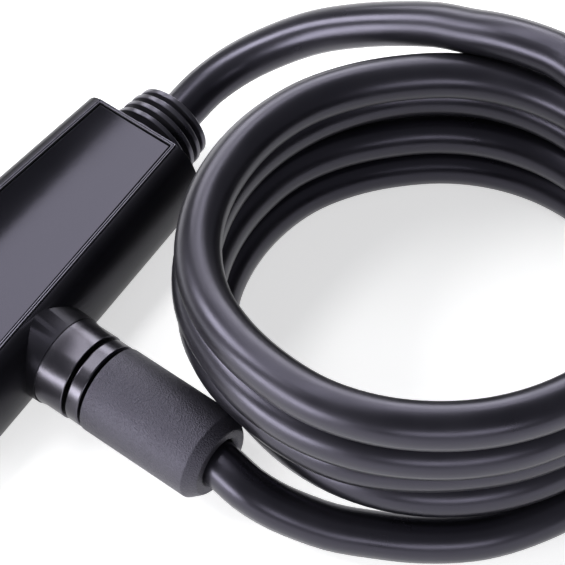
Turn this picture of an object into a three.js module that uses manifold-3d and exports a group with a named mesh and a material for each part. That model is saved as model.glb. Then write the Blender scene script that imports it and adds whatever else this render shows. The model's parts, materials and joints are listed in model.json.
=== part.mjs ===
// Coiled cable lock: a T-shaped lock head, a plastic-covered steel cable wound in a coil,
// and a plug on the cable's free end that seats in a collar on the head's side.
// Millimetres. +Z up, +Y towards the end of the head where the cable is fixed,
// +X the way the plug pulls out. The origin is the centre of the head's flat underside.
import * as THREE from "three";
import { mergeVertices } from "three/addons/utils/BufferGeometryUtils.js";
import Module from "manifold-3d";

const wasm = await Module();
wasm.setup();

// ---- fits ----
const gap = 0.3; // between pieces that touch on the real lock
const reach = 400; // longer than anything here, for cutting away a whole side

// ---- head: plan, height and walls ----
const headLength = 108;
const bodyHeight = 26.4; // underside to the flat top of the casing
const endWidth = 26.8; // flat top at the cable end
const keyWidth = 41; // flat top at the key end
const sideBulge = 6.6; // how far the round sides stand out past the flat top
const keyBulgeCut = 2; // bulge taken off at the key end, which leaves a flat face
const keyCornerRadius = 6;
const flatBand = 0.4; // straight band half way up the round side
const wall = 2;
const partingHeight = 4.8; // the two casings meet here, under the bulge
const beadWidth = 1.15;
const beadHeight = 0.6;
const beadInset = 0.15;
const panelThickness = 1.1;
const panelProud = 0.2; // panel above the casing's flat top
const panelEdge = 0.35; // bevel round the panel's top
const axisHeight = bodyHeight / 2; // cable, plug and key barrel lie at this height

// ---- grip inlay on the side away from the plug ----
const gripStart = 26; // towards the cable end
const gripEnd = -24;
const gripLow = 6.6;
const gripHigh = 19.8;
const gripProud = 0.7;
const gripDepth = 0.9;

// ---- cable ----
const cableRadius = 6;
const cableSides = 12;
const cableStep = 10; // length of one straight facet of a tube
const boreRadius = cableRadius + gap;

// ---- cable end: grommet, ferrule and its pin ----
const flangeThickness = 2.4; // of the grommet's flange, inside the casing
const coreEnd = headLength / 2 - wall - flangeThickness - 2 * gap;
const grommetNeckRadius = boreRadius + 2.6;
const grommetFlangeRadius = axisHeight - wall - 2 * gap; // fills the room in the casings
const grommetGrooveRadius = boreRadius + 3.3;
const ribHeights = [3, 2.7, 2.4, 1.8]; // above the grooves, from the head outwards
const ribPitch = 3.1;
const ribWidth = 2;
const ribStart = 2.4; // first rib's near face, from the casing
const ferruleWall = 0.9;
const ferruleRadius = cableRadius + ferruleWall;
const ferruleLength = 18;
const anchorPinRadius = 1.6;
const anchorPinPlace = coreEnd - 11;
const anchorPinFoot = 5; // height of the pin hole's floor

// ---- plug and socket, measured along X from the head's middle ----
const plugPlace = -9.5; // Y of the plug's axis
const shankRadius = 6;
const shankTip = -3.6;
const shankTipChamfer = 1.2;
const grooveRadius = 3.2;
const collarRadius = 12.2;
const collarRootRadius = 13;
const collarRootEnd = 27.5;
const collarStart = 19.3;
const collarEnd = 35.9;
const collarChamfer = 0.5;
const collarMouth = 2.5; // depth of the recess that takes the seal
const bushWall = 1.7;
const bushRadius = shankRadius + gap + bushWall;
const ringStart = 36.9;
const ringEnd = 41;
const ringRadius = 11.9;
const ringChamfer = 0.5;
const sleeveStart = 42;
const sleeveEnd = 78;
const sleeveRadius = 12.1;
const sleeveChamferLength = 4.2;
const sleeveChamferDepth = 2.8;
const sleeveWall = 3.3;
const sleeveBoreRadius = sleeveRadius - sleeveWall;
const sleeveBoreEnd = 68;
const shoulderRadius = sleeveBoreRadius - gap;
const shoulderEnd = 43.9;
const spigotRadius = 4;
const spigotEnd = 51;
const crimpRadius = sleeveBoreRadius - gap;
const crimpEnd = 66.3;
const sealRadius = 0.85; // of the seal's own round section

// ---- locking plate: lifts into the shank's groove ----
const plateMiddle = 1.5; // X
const plateThickness = 3.2;
const plateSide = 2.2; // metal beside the hole
const plateOver = 1.7; // metal above the hole
const plateUnder = 3.3; // metal below the hole
const plateHole = shankRadius + gap;
const plateLow = axisHeight - plateHole - plateUnder;
const plateHigh = axisHeight + plateHole + plateOver;
const plateLift = 2.55; // travel when the key turns a quarter turn
const plateTail = 3.6; // half height of the tail that the cam works

// ---- key cylinder, along Y at the key end ----
const barrelRadius = 5;
const barrelProud = 0.5; // barrel's front in front of the casing's end
const barrelLength = 26;
const barrelFront = -headLength / 2 - barrelProud;
const barrelRear = barrelFront + barrelLength;
const housingWall = 2.2;
const housingRadius = barrelRadius + gap + housingWall;
const housingRear = barrelRear - 2.9; // leaves the barrel's tail free for the clip
const channelWidth = 3.6; // cross-shaped channels that the wafers move in
const channelRadius = barrelRadius + gap + 1.2;
const keywayWidth = 2;
const keywayHeight = 7;
const keywayDepth = 20.5;
const waferCount = 4;
const waferThickness = 0.9;
const waferWidth = 3;
const waferInset = 0.35; // wafer's ends below the barrel's surface when drawn in
const waferLength = 2 * (barrelRadius - waferInset);
const waferPitch = 3.6;
const firstWafer = barrelFront + 5.5;
const waferWindow = 5;
const waferWindowWidth = 1.9;
const clipRadius = barrelRadius + 1.6;
const clipGrooveRadius = barrelRadius - 0.9;
const clipThickness = 0.9;
const clipOpening = 5;
const camRadius = barrelRadius - 0.3;
const camThickness = 2.4;
const camPinRadius = 1.2;
const camPinLength = 4;
const camEccentricity = plateLift / Math.SQRT2; // quarter turn, from 45 degrees below to 45 above
const plateTailEnd = barrelRear + camThickness + 2 * gap;
const cylinderPinRadius = 1.25;
const cylinderPinPlace = barrelFront + 12;

// ---- key end: ring, dust cover and pivot ----
const keyRingSleeve = 0.6; // wall of the ring's neck in the casing
const keyHoleRadius = barrelRadius + keyRingSleeve + 2 * gap;
const keyRingRadius = keyHoleRadius + 3.2;
const keyRingThickness = 1.2;
const coverRadius = barrelRadius + 1.3;
const coverThickness = 1.3;
const coverEarRadius = 2.3;
const pivotRadius = 1.05;
const pivotHeight = barrelRadius + pivotRadius + 1.15; // above the barrel's axis
const pivotHeadRadius = 2;
const pivotHeadHeight = 0.7;

// ---- casing screws, from below ----
const cableEndScrews = [3.1, 10]; // in from the flat top's side edge, and from the head's end
const keyEndScrews = [5.2, 11];
const screwRadius = 1.3;
const screwLength = 15;
const screwHeadRadius = 2.5;
const screwHeadHeight = 1;
const screwHeadDepth = 0.2; // head below the underside
const postRadius = 2.8;

// ---- coil: one ring of the outer shape of the wound cable ----
const coilCentre = new THREE.Vector3(97.5, 57.5, 0);
const coilInner = 48.5;
const coilOuter = 66.5;
const coilHeight = 61;
const coilSides = 56;
const plugRelief = 0.8; // room in the coil's flank for the sleeve

// The cable's two free stretches: points chosen along its middle.
const leadIn = [
  [0, 49.3, 13.2],
  [0, 62, 13.2],
  [0, 70, 13.2],
  [1.2, 79, 14.2],
  [5.4, 88.5, 17.6],
  [13, 96.6, 22.6],
  [23.6, 103.4, 29.4],
  [37, 109.4, 37.6],
  [52, 114.4, 45],
  [62, 116.8, 48.6],
];
const leadOut = [
  [66.6, -9.5, 13.2],
  [74, -9.5, 13.2],
  [80, -9.7, 13.1],
  [86, -9.9, 12],
  [93, -9.2, 9.8],
  [100, -7.6, 7.6],
  [108, -4.6, 6.4],
];

// ---------- shaping helpers ----------

// A closed geometry as a manifold-3d solid.
function solid(geometry) {
  const bare = geometry.clone();
  bare.deleteAttribute("normal");
  bare.deleteAttribute("uv");
  const merged = mergeVertices(bare, 1e-4);
  return new wasm.Manifold(
    new wasm.Mesh({
      numProp: 3,
      vertProperties: merged.attributes.position.array,
      triVerts: new Uint32Array(merged.index.array),
    }),
  );
}

// A manifold-3d solid as a geometry.
function geometryOf(shape) {
  const mesh = shape.getMesh();
  const geometry = new THREE.BufferGeometry();
  geometry.setAttribute("position", new THREE.BufferAttribute(mesh.vertProperties, 3));
  geometry.setIndex(new THREE.BufferAttribute(mesh.triVerts, 1));
  const flat = geometry.toNonIndexed();
  flat.computeVertexNormals();
  return flat;
}

function block(x0, x1, y0, y1, z0, z1) {
  const geometry = new THREE.BoxGeometry(x1 - x0, y1 - y0, z1 - z0);
  geometry.translate((x0 + x1) / 2, (y0 + y1) / 2, (z0 + z1) / 2);
  return solid(geometry);
}

// Turns a profile of [place along the axis, radius] pairs about an axis through a point.
function turned(axis, through, profile, sides = 32) {
  const points = profile.map(([along, radius]) => new THREE.Vector2(radius, along));
  const geometry = new THREE.LatheGeometry(points, sides);
  if (axis === "x") geometry.rotateZ(-Math.PI / 2);
  if (axis === "z") geometry.rotateX(Math.PI / 2);
  geometry.translate(...through);
  return solid(geometry);
}

function rod(axis, through, radius, from, to, sides = 32) {
  return turned(axis, through, [[from, 0], [from, radius], [to, radius], [to, 0]], sides);
}

// A tube round a free curve through the given points.
function cableTube(points, radius, sides = cableSides) {
  const path = new THREE.CatmullRomCurve3(points.map((p) => new THREE.Vector3(...p)));
  const section = new THREE.Shape();
  for (let i = 0; i < sides; i++) {
    const turn = (2 * Math.PI * i) / sides;
    const x = radius * Math.cos(turn);
    const y = radius * Math.sin(turn);
    if (i === 0) section.moveTo(x, y);
    else section.lineTo(x, y);
  }
  const steps = Math.ceil(path.getLength() / cableStep);
  return solid(
    new THREE.ExtrudeGeometry(section, { steps, extrudePath: path, bevelEnabled: false }),
  );
}

// The same points with the last one moved on along the curve's end.
function longer(points, extra) {
  const last = new THREE.Vector3(...points.at(-1));
  const before = new THREE.Vector3(...points.at(-2));
  const onward = last.clone().sub(before).normalize().multiplyScalar(extra);
  return [...points.slice(0, -1), last.add(onward).toArray()];
}

// ---------- the head's outer form ----------

// Half the width of the flat top at a place along the head.
function halfWidth(y) {
  const share = (headLength / 2 - y) / headLength;
  return (endWidth + (keyWidth - endWidth) * share) / 2;
}

// A pair of screws, one on each side.
function screwPair([fromEdge, fromEnd], end) {
  const y = end * (headLength / 2 - fromEnd);
  const x = halfWidth(y) - fromEdge;
  return [[x, y], [-x, y]];
}

const screwPlaces = [...screwPair(cableEndScrews, 1), ...screwPair(keyEndScrews, -1)];

// Plan of the flat top, drawn in by inset; its cable end lies at yEnd.
function topPlan(inset, yEnd) {
  const yKey = -headLength / 2 + sideBulge - keyBulgeCut + inset;
  const corner = keyCornerRadius;
  const wide = halfWidth(yKey) - inset;
  const shape = new THREE.Shape();
  shape.moveTo(halfWidth(yEnd) - inset, yEnd);
  shape.lineTo(-halfWidth(yEnd) + inset, yEnd);
  shape.lineTo(-halfWidth(yKey + corner) + inset, yKey + corner);
  shape.quadraticCurveTo(-wide, yKey, -wide + corner, yKey);
  shape.lineTo(wide - corner, yKey);
  shape.quadraticCurveTo(wide, yKey, halfWidth(yKey + corner) - inset, yKey + corner);
  return shape;
}

// The head with all its faces drawn in by inset.
function headForm(inset) {
  const half = bodyHeight / 2 - inset - flatBand / 2;
  const geometry = new THREE.ExtrudeGeometry(topPlan(inset, headLength), {
    depth: flatBand,
    bevelEnabled: true,
    bevelThickness: half,
    bevelSize: sideBulge,
    bevelSegments: 6,
    curveSegments: 4,
  });
  geometry.translate(0, 0, axisHeight - flatBand / 2);
  const end = headLength / 2 - inset;
  return solid(geometry).intersect(block(-reach, reach, -end, end, -reach, reach));
}

// What the collar and its bush need clear in the casings and the core block.
function collarRoom() {
  return rod("x", plugAxis, collarRootRadius + gap, collarStart - gap, reach, 40);
}

// A flat slab in the plan of the top.
function topSlab(inset, yEnd, z0, z1) {
  const geometry = new THREE.ExtrudeGeometry(topPlan(inset, yEnd), {
    depth: z1 - z0,
    bevelEnabled: false,
    curveSegments: 4,
  });
  geometry.translate(0, 0, z0);
  return solid(geometry);
}

const barrelAxis = [0, 0, axisHeight];
const plugAxis = [0, plugPlace, axisHeight];
const panelInset = beadInset + beadWidth + gap;
const panelSeat = bodyHeight + panelProud - panelThickness - gap;

function gripBox(margin) {
  return block(
    -reach,
    0,
    gripEnd - margin,
    gripStart + margin,
    gripLow - margin,
    gripHigh + margin,
  );
}

// ---------- casings and what is let into them ----------

function makeUpperCasing() {
  const end = headLength / 2;
  let shell = headForm(0).subtract(headForm(wall));
  const bead = topSlab(beadInset, end - beadInset, bodyHeight - gap, bodyHeight + beadHeight);
  const beadHole = beadInset + beadWidth;
  shell = shell.add(bead);
  shell = shell.subtract(topSlab(beadHole, end - beadHole, panelSeat, reach));
  for (const [x, y] of screwPlaces) {
    const roof = bodyHeight - wall + gap;
    const post = rod("z", [x, y, 0], postRadius, partingHeight + gap, roof, 20);
    shell = shell.add(post.intersect(headForm(gap)));
    const tip = screwHeadDepth + screwHeadHeight + screwLength + gap;
    shell = shell.subtract(rod("z", [x, y, 0], screwRadius + gap, 0, tip, 16));
  }
  shell = shell.subtract(gripBox(gap).subtract(headForm(gripDepth + gap)));
  shell = shell.subtract(rod("y", barrelAxis, keyHoleRadius, -reach, 0));
  const pivot = [0, 0, axisHeight + pivotHeight];
  shell = shell.subtract(rod("y", pivot, pivotRadius + gap, -reach, 0, 16));
  shell = shell.subtract(rod("y", barrelAxis, grommetNeckRadius + gap, coreEnd, reach));
  shell = shell.subtract(collarRoom());
  return shell.subtract(block(-reach, reach, -reach, reach, -reach, partingHeight + gap / 2));
}

function makeLowerCasing() {
  let shell = headForm(0).subtract(headForm(wall));
  for (const [x, y] of screwPlaces) {
    const headRoom = screwHeadDepth + screwHeadHeight + gap;
    shell = shell.subtract(rod("z", [x, y, 0], screwRadius + gap, -1, wall + 1, 16));
    shell = shell.subtract(rod("z", [x, y, 0], screwHeadRadius + gap, -1, headRoom, 20));
  }
  shell = shell.subtract(rod("y", barrelAxis, grommetNeckRadius + gap, coreEnd, reach));
  shell = shell.subtract(collarRoom());
  return shell.subtract(block(-reach, reach, -reach, reach, partingHeight - gap / 2, reach));
}

function makeFacePanel() {
  const yEnd = headLength / 2 - panelInset;
  const geometry = new THREE.ExtrudeGeometry(topPlan(panelInset + panelEdge, yEnd - panelEdge), {
    depth: panelThickness - 2 * panelEdge,
    bevelEnabled: true,
    bevelThickness: panelEdge,
    bevelSize: panelEdge,
    bevelSegments: 2,
    curveSegments: 4,
  });
  geometry.translate(0, 0, panelSeat + gap + panelEdge);
  return solid(geometry);
}

function makeGrip() {
  return headForm(-gripProud).subtract(headForm(gripDepth)).intersect(gripBox(0));
}

function makeCasingScrew([x, y]) {
  const shoulder = screwHeadDepth + screwHeadHeight;
  const tip = shoulder + screwLength;
  const profile = [
    [screwHeadDepth, 0],
    [screwHeadDepth, screwHeadRadius],
    [shoulder, screwHeadRadius],
    [shoulder, screwRadius],
    [tip - screwRadius, screwRadius],
    [tip, 0],
  ];
  return turned("z", [x, y, 0], profile, 16);
}

// ---------- core block ----------

function plateOutline(margin) {
  const radius = plateHole + plateSide + margin;
  const tailMiddle = axisHeight - camEccentricity / Math.SQRT2;
  const body = block(
    -reach,
    reach,
    plugPlace - radius,
    plugPlace + radius,
    plateLow - margin,
    plateHigh + margin,
  );
  const tail = block(
    -reach,
    reach,
    plateTailEnd - margin,
    plugPlace,
    tailMiddle - plateTail - margin,
    tailMiddle + plateTail + margin,
  );
  return body.add(tail);
}

function makeCoreBlock() {
  const keyFace = -headLength / 2 + wall + gap;
  let body = headForm(wall + gap);
  body = body.intersect(block(-reach, reach, keyFace, coreEnd, -reach, reach));
  for (const [x, y] of screwPlaces) {
    body = body.subtract(rod("z", [x, y, 0], postRadius + gap, -reach, reach, 20));
  }
  const ferruleEnd = coreEnd - ferruleLength - 2 * gap;
  body = body.subtract(rod("y", barrelAxis, ferruleRadius + gap, ferruleEnd, reach));
  const anchor = [0, anchorPinPlace, 0];
  body = body.subtract(rod("z", anchor, anchorPinRadius + gap, anchorPinFoot, reach, 16));
  body = body.subtract(rod("x", plugAxis, shankRadius + gap, shankTip - gap, reach));
  body = body.subtract(collarRoom());
  body = body.subtract(rod("y", barrelAxis, housingRadius + gap, -reach, plateTailEnd));
  const pin = [0, cylinderPinPlace, 0];
  body = body.subtract(rod("z", pin, cylinderPinRadius + gap, axisHeight, reach, 16));
  const channelFace = plateThickness / 2 + gap;
  const sides = block(
    plateMiddle - channelFace,
    plateMiddle + channelFace,
    -reach,
    reach,
    -reach,
    reach,
  );
  const lifted = plateOutline(gap).translate([0, 0, plateLift]);
  const channel = plateOutline(gap).add(lifted).intersect(sides);
  return body.subtract(channel);
}

// ---------- cable end ----------

function makeGrommet() {
  const face = headLength / 2;
  const inside = coreEnd + gap;
  const edge = ribWidth / 4;
  const profile = [
    [inside, boreRadius],
    [inside, grommetFlangeRadius],
    [inside + flangeThickness, grommetFlangeRadius],
    [inside + flangeThickness, grommetNeckRadius],
    [face + gap, grommetNeckRadius],
    [face + gap, grommetGrooveRadius],
  ];
  ribHeights.forEach((height, i) => {
    const near = face + ribStart + i * ribPitch;
    const radius = grommetGrooveRadius + height;
    profile.push(
      [near, grommetGrooveRadius],
      [near + edge, radius],
      [near + ribWidth - edge, radius],
      [near + ribWidth, i === ribHeights.length - 1 ? boreRadius : grommetGrooveRadius],
    );
  });
  profile.push([inside, boreRadius]);
  return turned("y", barrelAxis, profile, 36);
}

function makeAnchorFerrule() {
  const from = coreEnd - ferruleLength;
  const body = rod("y", barrelAxis, ferruleRadius, from, coreEnd, 28);
  const anchor = [0, anchorPinPlace, 0];
  return body.subtract(rod("z", anchor, anchorPinRadius + gap, -reach, reach, 16));
}

function makeAnchorPin() {
  const top = bodyHeight - wall - 2 * gap;
  return rod("z", [0, anchorPinPlace, 0], anchorPinRadius, anchorPinFoot + gap, top, 16);
}

// ---------- socket and plug ----------

function makeSocketCollar() {
  const recess = collarEnd - collarMouth;
  const bore = bushRadius + gap;
  const mouth = shankRadius + 3 * sealRadius + gap;
  const profile = [
    [collarStart, bore],
    [collarStart, collarRootRadius],
    [collarRootEnd, collarRootRadius],
    [collarRootEnd + collarRootRadius - collarRadius, collarRadius],
    [collarEnd - collarChamfer, collarRadius],
    [collarEnd, collarRadius - collarChamfer],
    [collarEnd, mouth],
    [recess, mouth],
    [recess, bore],
    [collarStart, bore],
  ];
  return turned("x", plugAxis, profile, 40);
}

function makeSocketBush() {
  const bore = shankRadius + gap;
  const to = collarEnd - collarMouth - gap;
  const profile = [
    [collarStart, bore],
    [collarStart, bushRadius],
    [to, bushRadius],
    [to, bore],
    [collarStart, bore],
  ];
  return turned("x", plugAxis, profile, 32);
}

function makePlugShank() {
  const near = plateMiddle - plateThickness / 2 - gap;
  const far = plateMiddle + plateThickness / 2 + gap;
  const shoulder = sleeveStart + gap;
  const profile = [
    [shankTip, 0],
    [shankTip, shankRadius - shankTipChamfer],
    [shankTip + shankTipChamfer, shankRadius],
    [near, shankRadius],
    [near, grooveRadius],
    [far, grooveRadius],
    [far, shankRadius],
    [shoulder, shankRadius],
    [shoulder, shoulderRadius],
    [shoulderEnd, shoulderRadius],
    [shoulderEnd, spigotRadius],
    [spigotEnd, spigotRadius],
    [spigotEnd, 0],
  ];
  return turned("x", plugAxis, profile, 32);
}

function makePlugSeal() {
  const middle = collarEnd - collarMouth / 2;
  const major = shankRadius + gap + sealRadius;
  const profile = [];
  const sides = 8;
  for (let i = 0; i <= sides; i++) {
    const turn = (-2 * Math.PI * i) / sides;
    profile.push([middle + sealRadius * Math.sin(turn), major + sealRadius * Math.cos(turn)]);
  }
  profile[sides] = profile[0];
  return turned("x", plugAxis, profile.reverse(), 28);
}

function makePlugRing() {
  const bore = shankRadius + gap;
  const profile = [
    [ringStart, bore],
    [ringStart, ringRadius - ringChamfer],
    [ringStart + ringChamfer, ringRadius],
    [ringEnd - ringChamfer, ringRadius],
    [ringEnd, ringRadius - ringChamfer],
    [ringEnd, bore],
    [ringStart, bore],
  ];
  return turned("x", plugAxis, profile, 40);
}

function makePlugSleeve() {
  const lip = shankRadius + gap;
  const profile = [
    [sleeveStart - 2 * gap, lip],
    [sleeveStart - 2 * gap, sleeveRadius - 4 * gap],
    [sleeveStart, sleeveRadius - gap],
    [sleeveStart + gap, sleeveRadius],
    [sleeveEnd - sleeveChamferLength, sleeveRadius],
    [sleeveEnd, sleeveRadius - sleeveChamferDepth],
    [sleeveEnd, boreRadius],
    [sleeveBoreEnd, boreRadius],
    [sleeveBoreEnd, sleeveBoreRadius],
    [sleeveStart, sleeveBoreRadius],
    [sleeveStart, lip],
    [sleeveStart - 2 * gap, lip],
  ];
  return turned("x", plugAxis, profile, 40);
}

function makePlugCrimp() {
  const from = shoulderEnd + gap;
  const profile = [
    [from, spigotRadius + gap],
    [from, crimpRadius],
    [crimpEnd, crimpRadius],
    [crimpEnd, 0],
    [spigotEnd + gap, 0],
    [spigotEnd + gap, spigotRadius + gap],
    [from, spigotRadius + gap],
  ];
  return turned("x", plugAxis, profile, 24);
}

function makeLockingPlate() {
  const half = plateThickness / 2;
  const sides = block(plateMiddle - half, plateMiddle + half, -reach, reach, -reach, reach);
  const pinMiddle = axisHeight - camEccentricity / Math.SQRT2;
  const notch = camPinRadius + gap;
  const notchEnd = plateTailEnd + camPinLength + gap;
  let plate = plateOutline(0).intersect(sides);
  plate = plate.subtract(rod("x", plugAxis, plateHole, -reach, reach));
  return plate.subtract(
    block(-reach, reach, -reach, notchEnd, pinMiddle - notch, pinMiddle + notch),
  );
}

// ---------- key cylinder ----------

function makeCylinderHousing() {
  const front = -headLength / 2 + wall + gap;
  let body = rod("y", barrelAxis, housingRadius, front, housingRear);
  body = body.intersect(headForm(wall + gap));
  body = body.subtract(rod("y", barrelAxis, barrelRadius + gap, -reach, reach));
  const half = channelWidth / 2;
  const low = axisHeight - channelRadius;
  const high = axisHeight + channelRadius;
  const from = firstWafer - waferPitch / 2;
  const to = firstWafer + (waferCount - 0.5) * waferPitch;
  body = body.subtract(block(-half, half, from, to, low, high));
  const flat = block(
    -channelRadius,
    channelRadius,
    from,
    to,
    axisHeight - half,
    axisHeight + half,
  );
  body = body.subtract(flat);
  const pin = [0, cylinderPinPlace, 0];
  return body.subtract(rod("z", pin, cylinderPinRadius + gap, axisHeight, reach, 16));
}

function makeCylinderPin() {
  const from = axisHeight + channelRadius - 2 * gap;
  const to = bodyHeight - wall - 2 * gap;
  return rod("z", [0, cylinderPinPlace, 0], cylinderPinRadius, from, to, 16);
}

function makeKeyBarrel() {
  const clipNear = housingRear + gap;
  const profile = [
    [barrelFront, 0],
    [barrelFront, barrelRadius],
    [clipNear, barrelRadius],
    [clipNear, clipGrooveRadius],
    [clipNear + clipThickness + gap, clipGrooveRadius],
    [clipNear + clipThickness + gap, barrelRadius],
    [barrelRear, barrelRadius],
    [barrelRear, 0],
  ];
  let body = turned("y", barrelAxis, profile, 28);
  const low = axisHeight - keywayHeight / 2;
  const high = axisHeight + keywayHeight / 2;
  const half = keywayWidth / 2;
  body = body.subtract(block(-half, half, -reach, barrelFront + keywayDepth, low, high));
  for (let i = 0; i < waferCount; i++) {
    const y = firstWafer + i * waferPitch;
    const slot = waferThickness / 2 + gap;
    const side = waferWidth / 2 + gap;
    body = body.subtract(block(-side, side, y - slot, y + slot, -reach, reach));
  }
  return body;
}

function makeWafer(i) {
  const y = firstWafer + i * waferPitch;
  const half = waferThickness / 2;
  const side = waferWidth / 2;
  const length = waferLength / 2;
  const window = waferWindow / 2;
  const windowSide = waferWindowWidth / 2;
  const body = block(-side, side, y - half, y + half, axisHeight - length, axisHeight + length);
  return body.subtract(
    block(
      -windowSide,
      windowSide,
      -reach,
      reach,
      axisHeight - window,
      axisHeight + window,
    ),
  );
}

function makeRetainingClip() {
  const from = housingRear + gap * 1.5;
  const ring = rod("y", barrelAxis, clipRadius, from, from + clipThickness, 28)
    .subtract(rod("y", barrelAxis, clipGrooveRadius + gap, -reach, reach, 28));
  const half = clipOpening / 2;
  return ring.subtract(block(-half, half, -reach, reach, -reach, axisHeight));
}

function makeDriveCam() {
  const from = barrelRear + gap;
  const to = from + camThickness;
  const step = camEccentricity / Math.SQRT2;
  const pinAxis = [step, 0, axisHeight - step];
  const disc = rod("y", barrelAxis, camRadius, from, to, 24);
  return disc.add(rod("y", pinAxis, camPinRadius, from, to + camPinLength, 16));
}

// ---------- key end ----------

function makeKeyRing() {
  const face = -headLength / 2 - gap;
  const bore = barrelRadius + gap;
  const profile = [
    [face - keyRingThickness, bore],
    [face - keyRingThickness, keyRingRadius - 0.4],
    [face - keyRingThickness + 0.4, keyRingRadius],
    [face, keyRingRadius],
    [face, keyHoleRadius - gap],
    [face + wall, keyHoleRadius - gap],
    [face + wall, bore],
    [face - keyRingThickness, bore],
  ];
  const pivot = [0, 0, axisHeight + pivotHeight];
  return turned("y", barrelAxis, profile, 36)
    .subtract(rod("y", pivot, pivotRadius + gap, -reach, reach, 16));
}

const coverFace = -headLength / 2 - 2 * gap - keyRingThickness;

function makeKeyholeCover() {
  const from = coverFace - coverThickness;
  const pivot = [0, 0, axisHeight + pivotHeight];
  const disc = rod("y", barrelAxis, coverRadius, from, coverFace, 32);
  const ear = rod("y", pivot, coverEarRadius, from, coverFace, 24);
  return disc.add(ear).subtract(rod("y", pivot, pivotRadius + gap, -reach, reach, 16));
}

function makeCoverPivot() {
  const headFace = coverFace - coverThickness - gap;
  const profile = [
    [headFace - pivotHeadHeight, 0],
    [headFace - pivotHeadHeight, pivotHeadRadius],
    [headFace, pivotHeadRadius],
    [headFace, pivotRadius],
    [-headLength / 2 + wall / 2, pivotRadius],
    [-headLength / 2 + wall / 2, 0],
  ];
  return turned("y", [0, 0, axisHeight + pivotHeight], profile, 16);
}

// ---------- cable ----------

// The ring that the wound cable fills, relieved for the sleeve and the cable's free stretches.
function makeCableCoil() {
  const edge = cableRadius / 2;
  const profile = [
    [0, coilInner + edge],
    [0, coilOuter - edge],
    [edge, coilOuter],
    [coilHeight - edge, coilOuter],
    [coilHeight, coilOuter - edge],
    [coilHeight, coilInner + edge],
    [coilHeight - edge, coilInner],
    [edge, coilInner],
    [0, coilInner + edge],
  ];
  const place = coilCentre.toArray();
  const sleeveRoom = rod("x", plugAxis, sleeveRadius + plugRelief, 0, sleeveEnd + plugRelief);
  return turned("z", place, profile, coilSides)
    .subtract(sleeveRoom)
    .subtract(cableTube(longer(leadOut, gap), cableRadius + gap))
    .subtract(cableTube(longer(leadIn, gap), cableRadius + gap));
}

// ---------- finishes ----------

function finish(color, roughness, metalness) {
  return new THREE.MeshStandardMaterial({ color, roughness, metalness });
}

const satinBlack = finish(0x1b1c1e, 0.42, 0.1);
const glossBlack = finish(0x0b0c0e, 0.08, 0.0);
const gripRubber = finish(0x161616, 0.8, 0.0);
const sleeveBlack = finish(0x202124, 0.62, 0.15);
const cableBlack = finish(0x17181a, 0.3, 0.0);
const blackMetal = finish(0x26272a, 0.3, 0.7);
const steel = finish(0x9a9da1, 0.3, 1.0);
const zinc = finish(0x8c8f93, 0.5, 0.8);
const brass = finish(0xb08d4a, 0.35, 1.0);
const nylon = finish(0xc9c6bd, 0.6, 0.0);

// ---------- assembly ----------

const lock = new THREE.Group();
const head = new THREE.Group();
const cylinder = new THREE.Group();
const plug = new THREE.Group();
const cable = new THREE.Group();
head.add(cylinder);
lock.add(head, plug, cable);

function place(group, name, shape, material) {
  const mesh = new THREE.Mesh(geometryOf(shape), material);
  mesh.name = name;
  group.add(mesh);
}

place(head, "upper_casing", makeUpperCasing(), satinBlack);
place(head, "lower_casing", makeLowerCasing(), satinBlack);
place(head, "face_panel", makeFacePanel(), glossBlack);
place(head, "side_grip", makeGrip(), gripRubber);
place(head, "core_block", makeCoreBlock(), zinc);
place(head, "socket_collar", makeSocketCollar(), blackMetal);
place(head, "socket_bush", makeSocketBush(), nylon);
place(head, "grommet", makeGrommet(), gripRubber);
place(head, "anchor_ferrule", makeAnchorFerrule(), steel);
place(head, "anchor_pin", makeAnchorPin(), steel);
place(head, "locking_plate", makeLockingPlate(), steel);
screwPlaces.forEach((at, i) => {
  place(head, `casing_screw_${i + 1}`, makeCasingScrew(at), steel);
});

place(cylinder, "cylinder_housing", makeCylinderHousing(), brass);
place(cylinder, "cylinder_pin", makeCylinderPin(), steel);
place(cylinder, "key_barrel", makeKeyBarrel(), brass);
for (let i = 0; i < waferCount; i++) {
  place(cylinder, `wafer_${i + 1}`, makeWafer(i), brass);
}
place(cylinder, "retaining_clip", makeRetainingClip(), steel);
place(cylinder, "drive_cam", makeDriveCam(), steel);
place(cylinder, "key_ring", makeKeyRing(), blackMetal);
place(cylinder, "keyhole_cover", makeKeyholeCover(), satinBlack);
place(cylinder, "cover_pivot", makeCoverPivot(), blackMetal);

place(plug, "plug_shank", makePlugShank(), steel);
place(plug, "plug_seal", makePlugSeal(), gripRubber);
place(plug, "plug_ring", makePlugRing(), blackMetal);
place(plug, "plug_sleeve", makePlugSleeve(), sleeveBlack);
place(plug, "plug_crimp", makePlugCrimp(), steel);

place(cable, "cable_lead_in", cableTube(leadIn, cableRadius), cableBlack);
place(cable, "cable_coil", makeCableCoil(), cableBlack);
place(cable, "cable_lead_out", cableTube(leadOut, cableRadius), cableBlack);

export default lock;
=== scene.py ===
import bpy
import bmesh
import json
import math
from mathutils import Matrix, Vector


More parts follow.
